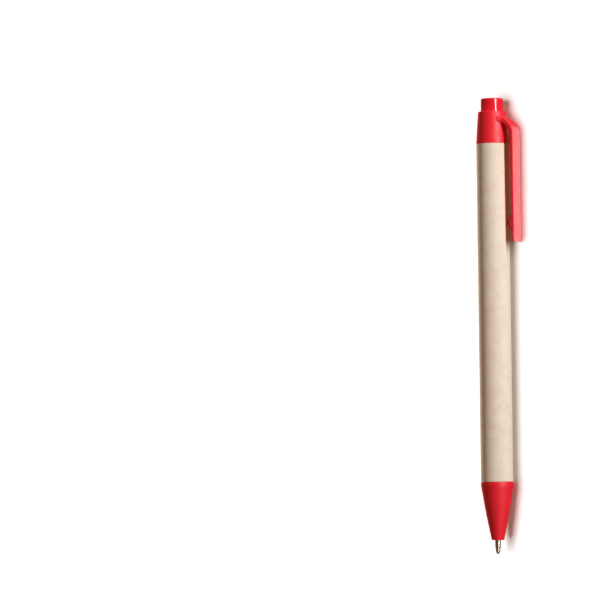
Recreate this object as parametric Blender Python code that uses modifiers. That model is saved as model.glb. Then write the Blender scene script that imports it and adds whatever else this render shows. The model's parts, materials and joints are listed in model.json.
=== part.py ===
"""A retractable ballpoint pen with a paper barrel and red plastic fittings.

It lies on a table, with its tip towards -Y, its button towards +Y and its clip touching the table on
the +X side. Every piece is modelled on an upright pen: +Z runs from the writing ball to the button, and
the clip is at +X. The empty named pen then lays the whole assembly down.
"""

import math

import bmesh
import bpy
from mathutils import Matrix

MM = 0.001
UP = (0.0, 0.0, 1.0)

# Driving dimensions. A place along the pen is its distance from the tip of the writing ball.
PEN_LENGTH = 140.0 * MM
POINT_OUT = 4.3 * MM
NOSE_END = 22.1 * MM
BARREL_END = 125.9 * MM
COLLAR_TOP = 135.8 * MM

BARREL_RADIUS = 5.0 * MM
TUBE_WALL = 0.85 * MM
NOSE_TIP_RADIUS = 1.9 * MM
NOSE_BULGE = 0.13 * MM
NOSE_BAND = 1.3 * MM
COLLAR_TOP_RADIUS = 4.3 * MM
BUTTON_RADIUS = 3.44 * MM
BUTTON_CAVITY = 2.75 * MM

CLIP_OUTER = 8.28 * MM
CLIP_WIDTH = 4.84 * MM
CLIP_THICK_TOP = 1.15 * MM
CLIP_THICK_END = 0.63 * MM
CLIP_END = 95.5 * MM
CLIP_TAPER_START = 97.0 * MM
CLIP_TAPER_END = 127.0 * MM
CLIP_ROOT_TOP = 134.75 * MM
CLIP_ROOT_THICK = 1.4 * MM
CLIP_ROOT_HALF_WIDTH = 3.55 * MM
NUB_PLACE = 101.4 * MM
NUB_HALF_LENGTH = 3.0 * MM
NUB_HALF_WIDTH = 1.9 * MM
NUB_HEIGHT = 2.45 * MM

# From the writing position the button, the rotor and the refill slide together: this far back to the
# retracted position, and this far forward when the button is pressed home to free the latch.
TRAVEL = 6.0 * MM
OVERPRESS = 1.4 * MM

# Clearances between pieces that are pressed together, that slide, and that stand loose.
PRESSED = 0.05 * MM
SLIDING = 0.10 * MM
LOOSE = 0.15 * MM

# Refill and mechanism.
BALL_RADIUS = 0.5 * MM
POINT_RADIUS = 0.875 * MM
SHANK_RADIUS = 1.15 * MM
HOLDER_RADIUS = 1.75 * MM
FLANGE_RADIUS = 2.3 * MM
REFILL_RADIUS = 1.5 * MM
REFILL_BORE = 1.1 * MM
REFILL_END = 107.0 * MM
INK_END = 88.0 * MM
SPRING_SEAT = 12.0 * MM
FLANGE_PLACE = 26.0 * MM
SPRING_WIRE = 0.4 * MM
SPRING_MEAN_RADIUS = 2.15 * MM
SPRING_TURNS = 11
LAND_RADIUS = 2.3 * MM
GROOVE_RADIUS = 2.95 * MM
GROOVE_WIDTH = 1.3 * MM
GROOVES = 4
CROWN_TEETH = 8
CROWN_DEPTH = 0.7 * MM
SLEEVE_START = 109.6 * MM
SLEEVE_END = 123.4 * MM
ROTOR_TOP = 110.0 * MM
ROOT_OVERLAP = 0.3 * MM

SIDES = 48
INNER_SIDES = 32

RED = (0.60, 0.008, 0.022, 1.0)
KRAFT = (0.62, 0.44, 0.29, 1.0)
NATURAL = (0.80, 0.78, 0.72, 1.0)
CLEAR_PLASTIC = (0.75, 0.77, 0.78, 1.0)
INK_BLUE = (0.01, 0.015, 0.12, 1.0)
NICKEL = (0.66, 0.63, 0.58, 1.0)
STEEL = (0.55, 0.55, 0.56, 1.0)
CARBIDE = (0.35, 0.35, 0.37, 1.0)

TUBE_BORE = BARREL_RADIUS - TUBE_WALL
COLLAR_BORE = BUTTON_RADIUS + 0.06 * MM


def scene_collection(name):
    collection = bpy.data.collections.new(name)
    bpy.context.scene.collection.children.link(collection)
    return collection


def clear_scene():
    for obj in list(bpy.data.objects):
        bpy.data.objects.remove(obj, do_unlink=True)


def finish(name, color, roughness, metallic=0.0):
    """A plain Principled material."""
    made = bpy.data.materials.new(name)
    made.use_nodes = True
    shader = made.node_tree.nodes["Principled BSDF"]
    shader.inputs["Base Color"].default_value = color
    shader.inputs["Roughness"].default_value = roughness
    shader.inputs["Metallic"].default_value = metallic
    return made


def empty(name, parent=None, location=(0.0, 0.0, 0.0)):
    made = bpy.data.objects.new(name, None)
    made.empty_display_size = 5 * MM
    made.location = location
    made.parent = parent
    PARTS.objects.link(made)
    return made


def part(name, mesh, body, material):
    """Links a mesh as one piece of the pen, drawn in the pen's own coordinates."""
    obj = bpy.data.objects.new(name, mesh)
    obj.parent = body
    if body is not PEN:
        obj.location = -body.location
    mesh.materials.append(material)
    PARTS.objects.link(obj)
    return obj


def cutter(name, mesh):
    obj = bpy.data.objects.new(name, mesh)
    obj.parent = PEN
    obj.hide_render = True
    obj.display_type = "WIRE"
    CUTTERS.objects.link(obj)
    return obj


def boolean(obj, operation, operand):
    made = obj.modifiers.new(operand.name, "BOOLEAN")
    made.operation = operation
    made.solver = "EXACT"
    made.object = operand


def profile_mesh(name, points):
    """A profile of (radius, place along the pen) as edges, closed unless it starts on the axis."""
    count = len(points)
    edges = [(i, i + 1) for i in range(count - 1)]
    if points[0][0] > 0.0:
        edges.append((count - 1, 0))
    mesh = bpy.data.meshes.new(name)
    mesh.from_pydata([(radius, 0.0, along) for radius, along in points], edges, [])
    return mesh


def turn(obj, sides):
    """Turns a profile about the pen's axis, with a flat side of the result facing the table."""
    obj.rotation_euler.z = FACET_ANGLE - math.pi / sides
    screw = obj.modifiers.new("Turn", "SCREW")
    screw.steps = sides
    screw.render_steps = sides
    screw.use_merge_vertices = True
    screw.merge_threshold = 1e-6
    screw.use_smooth_shade = False
    return obj


def turned(name, points, body, material, sides=SIDES):
    return turn(part(name, profile_mesh(name, points), body, material), sides)


def turned_cutter(name, points, sides=SIDES):
    return turn(cutter(name, profile_mesh(name, points)), sides)


def arc(start, middle, end, steps):
    """Points along the circle through three points, from start to end."""
    (ax, ay), (bx, by), (cx, cy) = start, middle, end
    twice = 2 * (ax * (by - cy) + bx * (cy - ay) + cx * (ay - by))
    a2, b2, c2 = ax * ax + ay * ay, bx * bx + by * by, cx * cx + cy * cy
    x = (a2 * (by - cy) + b2 * (cy - ay) + c2 * (ay - by)) / twice
    y = (a2 * (cx - bx) + b2 * (ax - cx) + c2 * (bx - ax)) / twice
    radius = math.hypot(ax - x, ay - y)
    first = math.atan2(ay - y, ax - x)
    sweep = math.remainder(math.atan2(cy - y, cx - x) - first, math.tau)
    angles = [first + sweep * i / steps for i in range(steps + 1)]
    return [(x + radius * math.cos(t), y + radius * math.sin(t)) for t in angles]


def bezier(a, b, c, d, steps):
    """Points along a cubic curve from a to d."""
    found = []
    for i in range(steps + 1):
        t = i / steps
        s = 1 - t
        weights = (s**3, 3 * s * s * t, 3 * s * t * t, t**3)
        found.append(tuple(sum(w * p[k] for w, p in zip(weights, (a, b, c, d))) for k in (0, 1)))
    return found


def rounded_corner(corner, radius, first_angle, steps=4):
    """A quarter round of this radius inside a corner, from first_angle on by a quarter turn clockwise."""
    x = corner[0] - radius * (math.cos(first_angle) + math.cos(first_angle - math.pi / 2))
    y = corner[1] - radius * (math.sin(first_angle) + math.sin(first_angle - math.pi / 2))
    angles = [first_angle - math.pi / 2 * i / steps for i in range(steps + 1)]
    return [(x + radius * math.cos(t), y + radius * math.sin(t)) for t in angles]


def outline_mesh(name, points, half_thickness, matrix):
    """A flat outline extruded both ways, turned into place by matrix, as a closed mesh."""
    curve = bpy.data.curves.new(name, "CURVE")
    curve.dimensions = "2D"
    curve.fill_mode = "BOTH"
    curve.extrude = half_thickness
    spline = curve.splines.new("POLY")
    spline.points.add(len(points) - 1)
    for place, (x, y) in zip(spline.points, points):
        place.co = (x, y, 0.0, 1.0)
    spline.use_cyclic_u = True
    holder = bpy.data.objects.new(name, curve)
    PARTS.objects.link(holder)
    graph = bpy.context.evaluated_depsgraph_get()
    mesh = bpy.data.meshes.new_from_object(holder.evaluated_get(graph))
    bpy.data.objects.remove(holder)
    shape = bmesh.new()
    shape.from_mesh(mesh)
    bmesh.ops.remove_doubles(shape, verts=shape.verts, dist=1e-7)
    bmesh.ops.transform(shape, matrix=matrix, verts=shape.verts)
    bmesh.ops.recalc_face_normals(shape, faces=shape.faces)
    shape.to_mesh(mesh)
    shape.free()
    return mesh


def radial_prisms(name, section, inner, outer, count, phase=0.0):
    """Prisms that stand out like spokes. Their section is drawn as (sideways, along the pen)."""
    shape = bmesh.new()
    corners = [shape.verts.new((inner, across, along)) for across, along in section]
    face = shape.faces.new(corners)
    grown = bmesh.ops.extrude_face_region(shape, geom=[face], use_keep_orig=True)
    moved = [item for item in grown["geom"] if isinstance(item, bmesh.types.BMVert)]
    bmesh.ops.translate(shape, verts=moved, vec=(outer - inner, 0.0, 0.0))
    bmesh.ops.recalc_face_normals(shape, faces=shape.faces)
    bmesh.ops.rotate(shape, verts=shape.verts, cent=(0, 0, 0), matrix=Matrix.Rotation(phase, 3, "Z"))
    bmesh.ops.spin(
        shape,
        geom=shape.verts[:] + shape.edges[:] + shape.faces[:],
        cent=(0, 0, 0),
        axis=UP,
        angle=math.tau * (count - 1) / count,
        steps=count - 1,
        use_duplicate=True,
    )
    mesh = bpy.data.meshes.new(name)
    shape.to_mesh(mesh)
    shape.free()
    return mesh


def box_section(width, low, high):
    half = width / 2
    return [(-half, low), (half, low), (half, high), (-half, high)]


# The pen rests on the barrel's lowest flat side and on one long corner of the clip.
FLAT_HEIGHT = BARREL_RADIUS * math.cos(math.pi / SIDES)
CORNER_RADIUS = math.hypot(CLIP_OUTER, CLIP_WIDTH / 2)
CLIP_TURN = math.asin(FLAT_HEIGHT / CORNER_RADIUS) - math.atan2(CLIP_WIDTH / 2, CLIP_OUTER)
FACET_ANGLE = math.pi / 2 - CLIP_TURN
CLIP_REACH = CLIP_OUTER * math.cos(CLIP_TURN) + CLIP_WIDTH / 2 * math.sin(CLIP_TURN)
AXIS_X = (FLAT_HEIGHT - CLIP_REACH) / 2

CLIP_HINGE = (4.4 * MM, 0.0, 134.0 * MM)


def nose_cone():
    """The tapered front: a mouth for the point, a seat for the spring and a spigot that fits in the tube."""
    tip = (NOSE_TIP_RADIUS, POINT_OUT)
    shoulder = (BARREL_RADIUS - 0.1 * MM, NOSE_END - NOSE_BAND)
    middle = ((tip[0] + shoulder[0]) / 2 + NOSE_BULGE, (tip[1] + shoulder[1]) / 2)
    spigot = TUBE_BORE - PRESSED
    spigot_end = 32.0 * MM
    spring_room = SPRING_MEAN_RADIUS + SPRING_WIRE / 2 + SLIDING
    spring_room_end = 20.0 * MM
    wide_room = 3.1 * MM
    mouth_bore = POINT_RADIUS + 0.125 * MM
    mouth_end = 5.3 * MM
    shank_room_end = 8.7 * MM
    step = 0.2 * MM
    chamfer = 0.12 * MM
    points = [
        (spigot - chamfer, spigot_end),
        (spigot, spigot_end - chamfer),
        (spigot, NOSE_END),
        (BARREL_RADIUS, NOSE_END),
        (BARREL_RADIUS, shoulder[1] + 0.1 * MM),
    ]
    points += arc(shoulder, middle, tip, 8)
    points += [
        (NOSE_TIP_RADIUS - 0.25 * MM, POINT_OUT - 0.001 * MM),
        (mouth_bore, POINT_OUT),
        (mouth_bore, mouth_end),
        (SHANK_RADIUS + LOOSE, mouth_end + step),
        (SHANK_RADIUS + LOOSE, shank_room_end),
        (HOLDER_RADIUS + LOOSE, shank_room_end + step),
        (HOLDER_RADIUS + LOOSE, SPRING_SEAT),
        (spring_room, SPRING_SEAT),
        (spring_room, spring_room_end),
        (wide_room, spring_room_end + 2 * MM),
        (wide_room, spigot_end),
    ]
    return turned("nose_cone", points, NOSE, PLASTIC_RED)


def barrel_tube():
    low = NOSE_END + PRESSED
    high = BARREL_END - PRESSED
    points = [(BARREL_RADIUS, high), (BARREL_RADIUS, low), (TUBE_BORE, low), (TUBE_BORE, high)]
    return turned("barrel_tube", points, PEN, PAPER)


def collar():
    """The tapered ring that guides the button, with a long spigot in the tube."""
    spigot = TUBE_BORE - PRESSED
    spigot_end = 112.0 * MM
    rim = rounded_corner((COLLAR_TOP_RADIUS, COLLAR_TOP), 0.35 * MM, math.pi / 2)
    points = rim + [
        (BARREL_RADIUS, BARREL_END),
        (spigot, BARREL_END),
        (spigot, spigot_end),
        (COLLAR_BORE, spigot_end),
        (COLLAR_BORE, COLLAR_TOP - 0.1 * MM),
        (COLLAR_BORE + 0.1 * MM, COLLAR_TOP),
    ]
    return turned("collar", points, PEN, PLASTIC_RED)


def clip_side_outline():
    """The clip seen from its side, as (distance from the axis, place along the pen)."""
    inner_top = CLIP_OUTER - CLIP_THICK_TOP
    inner_end = CLIP_OUTER - CLIP_THICK_END
    root = 2.0 * MM
    arch_top = bezier(
        (CLIP_OUTER, 128.6 * MM),
        (CLIP_OUTER, 131.3 * MM),
        (6.9 * MM, 132.3 * MM),
        (3.7 * MM, CLIP_ROOT_TOP - 0.35 * MM),
        12,
    )
    arch_under = bezier(
        (inner_top, CLIP_TAPER_END),
        (inner_top, 130.0 * MM),
        (6.5 * MM, 131.0 * MM),
        (3.4 * MM, CLIP_ROOT_TOP - CLIP_ROOT_THICK - 0.45 * MM),
        12,
    )
    round_end = 0.25 * MM
    lead_in = bezier(
        (CLIP_OUTER - round_end, CLIP_END),
        (CLIP_OUTER - 0.45 * MM, CLIP_END),
        (inner_end, CLIP_END + 0.6 * MM),
        (inner_end, CLIP_TAPER_START),
        6,
    )
    outline = [(root, CLIP_ROOT_TOP)] + arch_top[::-1]
    outline += rounded_corner((CLIP_OUTER, CLIP_END), round_end, 0.0, 3)[:-1]
    return outline + lead_in + arch_under + [(root, CLIP_ROOT_TOP - CLIP_ROOT_THICK)]


def clip_front_outline():
    """The clip seen from its front, as (sideways, place along the pen): a strip, left wide for its root."""
    half = CLIP_WIDTH / 2
    root_start = 131.0 * MM
    side = rounded_corner((half, CLIP_END), 0.7 * MM, 0.0)[::-1]
    side += [(half, root_start), (2 * half, root_start), (2 * half, PEN_LENGTH)]
    return side + [(-across, along) for across, along in reversed(side)]


def clip_top_outline():
    """The clip seen along the pen, as (distance from the axis, sideways): it fans out to meet the collar."""
    half = CLIP_WIDTH / 2
    fan = bezier(
        (5.0 * MM, half),
        (4.1 * MM, half),
        (3.5 * MM, half + 0.4 * MM),
        (3.05 * MM, CLIP_ROOT_HALF_WIDTH),
        6,
    )
    side = [(CLIP_OUTER + 1 * MM, half)] + fan + [(0.0, CLIP_ROOT_HALF_WIDTH)]
    return side + [(out, -across) for out, across in reversed(side)]


def clip_nub():
    """The round nub on the clip's inner side, cut flat inside the clip's thickness."""
    shape = bmesh.new()
    bmesh.ops.create_uvsphere(shape, u_segments=24, v_segments=12, radius=1.0)
    bmesh.ops.scale(shape, verts=shape.verts, vec=(NUB_HEIGHT, NUB_HALF_WIDTH, NUB_HALF_LENGTH))
    nub_centre = BARREL_RADIUS + SLIDING + NUB_HEIGHT
    bmesh.ops.translate(shape, verts=shape.verts, vec=(nub_centre, 0.0, NUB_PLACE))
    mesh = bpy.data.meshes.new("clip_nub")
    shape.to_mesh(mesh)
    shape.free()
    nub = cutter("clip_nub", mesh)
    block_size = 8 * MM
    shape = bmesh.new()
    bmesh.ops.create_cube(shape, size=block_size)
    inside = CLIP_OUTER - CLIP_THICK_END / 2 - block_size / 2
    bmesh.ops.translate(shape, verts=shape.verts, vec=(inside, 0.0, NUB_PLACE))
    block = bpy.data.meshes.new("clip_nub_block")
    shape.to_mesh(block)
    shape.free()
    boolean(nub, "INTERSECT", cutter("clip_nub_block", block))
    return nub


def clip():
    """The arm that grips a pocket. It bends at its root, where it springs from the collar."""
    reach = 5 * MM
    from_side = Matrix(((1, 0, 0, 0), (0, 0, -1, 0), (0, 1, 0, 0), (0, 0, 0, 1)))
    from_front = Matrix(((0, 0, 1, 6 * MM), (1, 0, 0, 0), (0, 1, 0, 0), (0, 0, 0, 1)))
    from_top = Matrix.Translation((0.0, 0.0, PEN_LENGTH / 2))
    mesh = outline_mesh("clip", clip_side_outline(), reach, from_side)
    obj = part("clip", mesh, CLIP_ARM, PLASTIC_RED)
    front = outline_mesh("clip_front", clip_front_outline(), reach, from_front)
    boolean(obj, "INTERSECT", cutter("clip_front", front))
    top = outline_mesh("clip_top", clip_top_outline(), PEN_LENGTH, from_top)
    boolean(obj, "INTERSECT", cutter("clip_top", top))
    gap = 0.12 * MM
    over = 1 * MM
    ring = [
        (0.0, COLLAR_TOP + over),
        (COLLAR_TOP_RADIUS + gap, COLLAR_TOP + over),
        (COLLAR_TOP_RADIUS + gap, COLLAR_TOP),
        (BARREL_RADIUS + gap, BARREL_END),
        (0.0, BARREL_END),
    ]
    boolean(obj, "DIFFERENCE", turned_cutter("clip_seat", ring))
    boolean(obj, "UNION", clip_nub())
    return obj


def cam_sleeve():
    """The guide in the collar's spigot: its grooves keep the plunger straight and take the rotor's ribs."""
    flange_end = 111.9 * MM
    points = [
        (COLLAR_BORE - PRESSED, SLEEVE_END),
        (COLLAR_BORE - PRESSED, flange_end),
        (TUBE_BORE - PRESSED, flange_end),
        (TUBE_BORE - PRESSED, SLEEVE_START),
        (LAND_RADIUS, SLEEVE_START),
        (LAND_RADIUS, SLEEVE_END),
    ]
    obj = turned("cam_sleeve", points, PEN, PLASTIC_WHITE)
    over = 1 * MM
    inside = LAND_RADIUS - 0.4 * MM
    groove = box_section(GROOVE_WIDTH, SLEEVE_START - over, SLEEVE_END + over)
    grooves = radial_prisms("sleeve_grooves", groove, inside, GROOVE_RADIUS, GROOVES)
    boolean(obj, "DIFFERENCE", cutter("sleeve_grooves", grooves))
    half = 0.55 * MM
    shallow = SLEEVE_START + 0.2 * MM
    deep = SLEEVE_START + 0.9 * MM
    catch = [(-half, SLEEVE_START - over), (half, SLEEVE_START - over), (half, shallow), (-half, deep)]
    catches = radial_prisms("sleeve_catches", catch, inside, GROOVE_RADIUS, GROOVES, math.pi / GROOVES)
    boolean(obj, "DIFFERENCE", cutter("sleeve_catches", catches))
    return obj


def push_button():
    """The hollow cap that the thumb presses."""
    guided_when_out = 4.3 * MM
    skirt_end = COLLAR_TOP - TRAVEL - guided_when_out
    roof = PEN_LENGTH - 1.3 * MM
    crown_drop = 0.04 * MM
    flat_radius = BUTTON_RADIUS - 0.75 * MM
    edge = rounded_corner((BUTTON_RADIUS, PEN_LENGTH - crown_drop), 0.45 * MM, math.pi / 2, 5)
    points = [(0.0, PEN_LENGTH), (flat_radius, PEN_LENGTH)] + edge
    points += [(BUTTON_RADIUS, skirt_end), (BUTTON_CAVITY, skirt_end), (BUTTON_CAVITY, roof), (0.0, roof)]
    return turned("push_button", points, BUTTON, PLASTIC_GLOSS)


def crown_notches(name, place, depth, phase):
    """Cutters for V notches in the end of a ring: depth is negative where they cut towards the tip."""
    half = 0.59 * MM
    mouth = place - depth * 0.4
    section = [(-half, mouth), (half, mouth), (0.0, place + depth)]
    return cutter(name, radial_prisms(name, section, 1.15 * MM, 3.2 * MM, CROWN_TEETH, phase))


def cam_plunger():
    """The tube that the button drives forward. Its keys run in the sleeve and its crown turns the rotor."""
    crown = ROTOR_TOP + 0.25 * MM
    bore = 1.25 * MM
    body = LAND_RADIUS - SLIDING
    head = BUTTON_CAVITY - PRESSED
    top = 134.0 * MM
    head_start = SLEEVE_END + OVERPRESS + 1.1 * MM
    points = [
        (head, top),
        (head, head_start + 0.5 * MM),
        (body, head_start),
        (body, crown),
        (bore, crown),
        (bore, top),
    ]
    obj = turned("cam_plunger", points, BUTTON, PLASTIC_WHITE, INNER_SIDES)
    key_start = 111.4 * MM
    keys = box_section(GROOVE_WIDTH - 2 * SLIDING, key_start, key_start + 3 * MM)
    mesh = radial_prisms("plunger_keys", keys, body - ROOT_OVERLAP, GROOVE_RADIUS - SLIDING, GROOVES)
    boolean(obj, "UNION", cutter("plunger_keys", mesh))
    boolean(obj, "DIFFERENCE", crown_notches("plunger_notches", crown, CROWN_DEPTH, 0.0))
    return obj


def index_rotor():
    """The ribbed rotor between the plunger and the refill, drawn with its ribs in line with the grooves."""
    front = 105.2 * MM
    body = LAND_RADIUS - LOOSE
    socket = REFILL_RADIUS + SLIDING
    floor = 108.3 * MM
    stem = 1.1 * MM
    stem_end = 113.0 * MM
    chamfer = 0.2 * MM
    points = [
        (0.0, stem_end),
        (stem - chamfer, stem_end),
        (stem, stem_end - chamfer),
        (stem, ROTOR_TOP),
        (body, ROTOR_TOP),
        (body, front),
        (socket, front),
        (socket, floor),
        (0.0, floor),
    ]
    obj = turned("index_rotor", points, ROTOR, PLASTIC_WHITE, INNER_SIDES)
    half = GROOVE_WIDTH / 2 - SLIDING
    rib_start = 106.4 * MM
    low_side = 108.7 * MM
    high_side = 109.4 * MM
    rib = [(-half, rib_start), (half, rib_start), (half, low_side), (-half, high_side)]
    mesh = radial_prisms("rotor_ribs", rib, body - ROOT_OVERLAP, GROOVE_RADIUS - SLIDING, GROOVES)
    boolean(obj, "UNION", cutter("rotor_ribs", mesh))
    half_tooth = math.pi / CROWN_TEETH
    boolean(obj, "DIFFERENCE", crown_notches("rotor_notches", ROTOR_TOP, -CROWN_DEPTH, half_tooth))
    return obj


def refill_tube():
    start = FLANGE_PLACE + 1.05 * MM
    points = [
        (REFILL_RADIUS, REFILL_END),
        (REFILL_RADIUS, start),
        (REFILL_BORE, start),
        (REFILL_BORE, REFILL_END),
    ]
    return turned("refill_tube", points, REFILL, PLASTIC_CLEAR, INNER_SIDES)


def ink_column():
    radius = REFILL_BORE - PRESSED
    start = FLANGE_PLACE + 5.3 * MM
    points = [(0.0, INK_END - 0.3 * MM), (radius, INK_END), (radius, start), (0.0, start)]
    return turned("ink_column", points, REFILL, INK, INNER_SIDES)


def refill_plug():
    """The vented plug in the refill's rear end."""
    radius = REFILL_BORE - PRESSED
    vent = 0.35 * MM
    top = REFILL_END + 1.05 * MM
    points = [
        (REFILL_RADIUS, top),
        (REFILL_RADIUS, REFILL_END + PRESSED),
        (radius, REFILL_END + PRESSED),
        (radius, REFILL_END - 3 * MM),
        (vent, REFILL_END - 3 * MM),
        (vent, top),
    ]
    return turned("refill_plug", points, REFILL, PLASTIC_WHITE, INNER_SIDES)


def tip_holder():
    """The plastic piece between the metal point and the refill's tube. The spring pushes on its flange."""
    front = 10.5 * MM
    rear = FLANGE_PLACE + 5 * MM
    shank = SHANK_RADIUS + PRESSED
    spigot = REFILL_BORE - PRESSED
    bore = 0.5 * MM
    shank_end = 13.2 * MM
    points = [
        (spigot, rear),
        (spigot, FLANGE_PLACE + 1 * MM),
        (FLANGE_RADIUS, FLANGE_PLACE + 1 * MM),
        (FLANGE_RADIUS, FLANGE_PLACE),
        (HOLDER_RADIUS, FLANGE_PLACE),
        (HOLDER_RADIUS, front + 0.4 * MM),
        (HOLDER_RADIUS - 0.3 * MM, front),
        (shank, front),
        (shank, shank_end),
        (bore, shank_end),
        (bore, rear),
    ]
    return turned("tip_holder", points, REFILL, PLASTIC_WHITE, INNER_SIDES)


def point_housing():
    """The metal point: a socket for the ball, a cone, a cylinder that fills the nose's mouth, and a shank."""
    rim = BALL_RADIUS + 0.12 * MM
    socket = BALL_RADIUS + PRESSED
    lip = 0.42 * MM
    cone_end = 2.2 * MM
    step = 7.0 * MM
    channel = 0.3 * MM
    rear = 13.1 * MM
    points = [
        (SHANK_RADIUS, rear),
        (SHANK_RADIUS, step + 0.2 * MM),
        (POINT_RADIUS, step),
        (POINT_RADIUS, cone_end),
        (rim, lip),
        (socket, lip),
        (socket, 0.95 * MM),
        (channel, 1.2 * MM),
        (channel, rear),
    ]
    return turned("point_housing", points, REFILL, METAL_NICKEL, INNER_SIDES)


def writing_ball():
    shape = bmesh.new()
    bmesh.ops.create_uvsphere(shape, u_segments=20, v_segments=12, radius=BALL_RADIUS)
    mesh = bpy.data.meshes.new("writing_ball")
    shape.to_mesh(mesh)
    shape.free()
    obj = part("writing_ball", mesh, BALL, METAL_CARBIDE)
    obj.location = (0.0, 0.0, 0.0)
    return obj


def return_spring():
    """The coil round the refill, squeezed between the nose's seat and the refill's flange."""
    end_gap = 0.06 * MM
    low = SPRING_SEAT + SPRING_WIRE / 2 + end_gap
    high = FLANGE_PLACE - SPRING_WIRE / 2 - end_gap
    closed_turns = 1.0
    pitch_closed = SPRING_WIRE * 1.15
    steps = 12
    total = SPRING_TURNS * steps
    open_rise = (high - low - 2 * closed_turns * pitch_closed) / (SPRING_TURNS - 2 * closed_turns)
    curve = bpy.data.curves.new("return_spring", "CURVE")
    curve.dimensions = "3D"
    curve.bevel_depth = SPRING_WIRE / 2
    curve.bevel_resolution = 2
    curve.use_fill_caps = True
    spline = curve.splines.new("POLY")
    spline.points.add(total)
    height = low
    for i in range(total + 1):
        turns = i / steps
        angle = math.tau * turns
        x = SPRING_MEAN_RADIUS * math.cos(angle)
        y = SPRING_MEAN_RADIUS * math.sin(angle)
        spline.points[i].co = (x, y, height, 1.0)
        closed = turns < closed_turns or turns >= SPRING_TURNS - closed_turns
        height += (pitch_closed if closed else open_rise) / steps
    return part("return_spring", curve, PEN, METAL_STEEL)


clear_scene()
PARTS = scene_collection("retractable_ballpoint_pen")
CUTTERS = scene_collection("cutters")

PEN = empty("pen", location=(AXIS_X, -PEN_LENGTH / 2, FLAT_HEIGHT))
upright_to_lying = Matrix(
    (
        (math.cos(CLIP_TURN), -math.sin(CLIP_TURN), 0.0),
        (0.0, 0.0, 1.0),
        (-math.sin(CLIP_TURN), -math.cos(CLIP_TURN), 0.0),
    )
)
PEN.rotation_euler = upright_to_lying.to_euler()
NOSE = empty("nose_slide", PEN)
BUTTON = empty("button_slide", PEN)
ROTOR = empty("rotor_slide", PEN)
REFILL = empty("refill_slide", PEN)
BALL = empty("ball_centre", REFILL, (0.0, 0.0, BALL_RADIUS))
CLIP_ARM = empty("clip_hinge", PEN, CLIP_HINGE)

PLASTIC_RED = finish("red_satin_plastic", RED, 0.38)
PLASTIC_GLOSS = finish("red_gloss_plastic", RED, 0.2)
PAPER = finish("kraft_paper", KRAFT, 0.85)
PLASTIC_WHITE = finish("natural_plastic", NATURAL, 0.45)
PLASTIC_CLEAR = finish("clear_plastic", CLEAR_PLASTIC, 0.3)
INK = finish("blue_ink", INK_BLUE, 0.25)
METAL_NICKEL = finish("nickel_silver", NICKEL, 0.25, 1.0)
METAL_STEEL = finish("spring_steel", STEEL, 0.3, 1.0)
METAL_CARBIDE = finish("tungsten_carbide", CARBIDE, 0.2, 1.0)

nose_cone()
barrel_tube()
collar()
clip()
cam_sleeve()
push_button()
cam_plunger()
index_rotor()
refill_tube()
ink_column()
refill_plug()
tip_holder()
point_housing()
writing_ball()
return_spring()
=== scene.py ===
"""The looks of a retractable ballpoint pen: a kraft-paper barrel with red moulded fittings, on a pale table.

Every shape is drawn on an upright pen, as the CAD is: +Z runs from the ball's tip to the button, the clip is
at +X, and PEN lays it down in the frame.
"""

import json
import math

import bmesh
import bpy
import numpy as np
from mathutils import Matrix, Vector


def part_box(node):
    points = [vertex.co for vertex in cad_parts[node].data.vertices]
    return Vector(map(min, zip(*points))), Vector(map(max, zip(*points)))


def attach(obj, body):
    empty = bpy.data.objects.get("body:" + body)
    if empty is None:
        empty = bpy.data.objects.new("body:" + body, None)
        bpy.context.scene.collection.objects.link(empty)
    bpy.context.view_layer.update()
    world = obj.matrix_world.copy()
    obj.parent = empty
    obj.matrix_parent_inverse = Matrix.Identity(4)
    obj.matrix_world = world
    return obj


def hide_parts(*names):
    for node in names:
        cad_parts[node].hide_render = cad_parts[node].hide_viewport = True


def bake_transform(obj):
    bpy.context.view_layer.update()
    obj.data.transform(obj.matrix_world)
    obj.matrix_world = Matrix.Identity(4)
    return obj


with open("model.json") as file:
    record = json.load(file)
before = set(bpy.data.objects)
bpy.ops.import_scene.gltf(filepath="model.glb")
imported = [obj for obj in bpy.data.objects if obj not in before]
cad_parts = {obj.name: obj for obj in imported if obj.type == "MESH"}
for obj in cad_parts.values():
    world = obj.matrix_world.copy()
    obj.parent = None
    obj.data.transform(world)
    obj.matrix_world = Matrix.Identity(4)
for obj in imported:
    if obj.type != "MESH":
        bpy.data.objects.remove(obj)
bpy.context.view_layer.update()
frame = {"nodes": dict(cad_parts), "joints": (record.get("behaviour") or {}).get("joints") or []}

MM = 0.001

# The pen's axis, tip and clip direction, read from the frame.
BARREL_LOW, BARREL_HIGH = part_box("barrel_tube")
AXIS = (BARREL_LOW + BARREL_HIGH) / 2
TIP_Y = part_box("writing_ball")[0].y
FLEX = next(joint for joint in frame["joints"] if joint["name"] == "clip_flex")
CLIP_WAY = Vector((FLEX["pos_m"][0] - AXIS.x, 0.0, FLEX["pos_m"][2] - AXIS.z)).normalized()
ALONG = Vector((0.0, 1.0, 0.0))
SIDEWAYS = ALONG.cross(CLIP_WAY)
PEN = Matrix.Translation((AXIS.x, TIP_Y, AXIS.z)) @ Matrix((CLIP_WAY, SIDEWAYS, ALONG)).transposed().to_4x4()


def along(node):
    """Where a CAD node begins and ends, as distances from the ball's tip."""
    low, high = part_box(node)
    return low.y - TIP_Y, high.y - TIP_Y


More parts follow.
